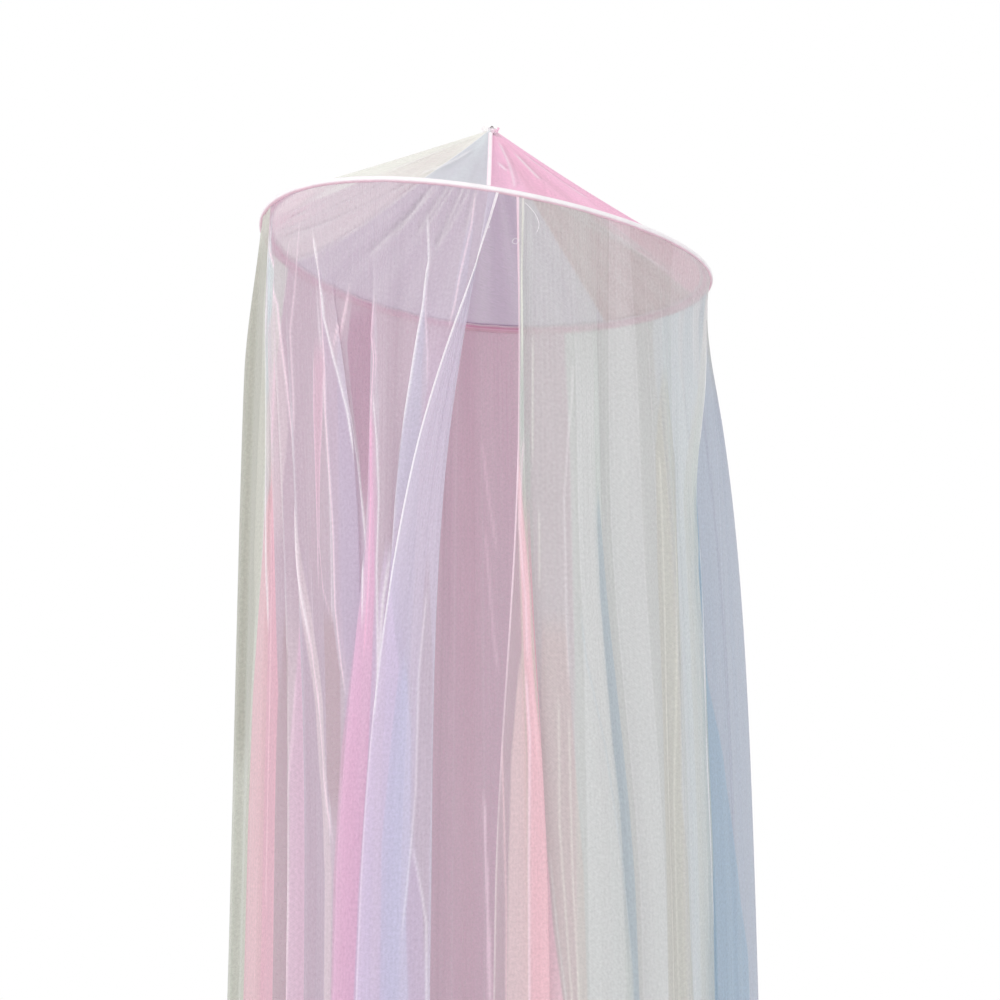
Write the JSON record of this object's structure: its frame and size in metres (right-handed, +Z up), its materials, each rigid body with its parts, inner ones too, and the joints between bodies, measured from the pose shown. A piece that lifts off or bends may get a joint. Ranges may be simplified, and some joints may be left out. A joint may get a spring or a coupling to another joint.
{
  "type": "mosquito net canopy with hoop",
  "caption": "Hanging mosquito net canopy: a cone roof of coloured net gores over a hoop in a pink casing, and a long folded net curtain that opens at the front.",
  "frame": {"origin": "top of the white tape loop at the apex, where the canopy hangs", "axes": "+Z up, the front opening faces -Y, +X to the right seen from the front"},
  "size_m": [0.698, 0.6954, 2.481],
  "materials": {
    "hoop_wire": "satin white coat",
    "casing_tape": "matt woven tape",
    "white_tape": "matt woven tape",
    "chain_steel": "dull wire",
    "net_sky": "sheer fine net",
    "net_pink": "sheer fine net",
    "net_rose": "sheer fine net",
    "net_lilac": "sheer fine net",
    "net_blush": "sheer fine net",
    "net_cream": "sheer fine net",
    "net_mint": "sheer fine net",
    "net_pearl": "sheer fine net",
    "net_mauve": "sheer fine net",
    "net_coral": "sheer fine net",
    "net_orchid": "sheer fine net",
    "net_lavender": "sheer fine net"
  },
  "bodies": {
    "root": {"hoop": "hoop_wire", "hoop_casing": "casing_tape", "roof_seam_tape": "white_tape", "apex_band": "white_tape", "hang_loop": "white_tape", "chain_link_top": "chain_steel", "chain_link_middle": "chain_steel", "chain_link_low": "chain_steel", "roof_sky": "net_sky", "curtain_sky_side": "net_sky", "roof_pink": "net_pink", "roof_rose": "net_rose", "roof_lilac": "net_lilac", "curtain_lilac_left": "net_lilac", "roof_blush": "net_blush", "curtain_blush_front": "net_blush", "roof_cream": "net_cream", "curtain_mint_front": "net_mint", "curtain_mint_side": "net_mint", "curtain_pearl_back": "net_pearl", "curtain_pearl_left": "net_pearl", "curtain_mauve_back": "net_mauve", "curtain_coral_left": "net_coral", "curtain_orchid_left": "net_orchid", "curtain_lavender_front": "net_lavender"}
  },
  "joints": []
}
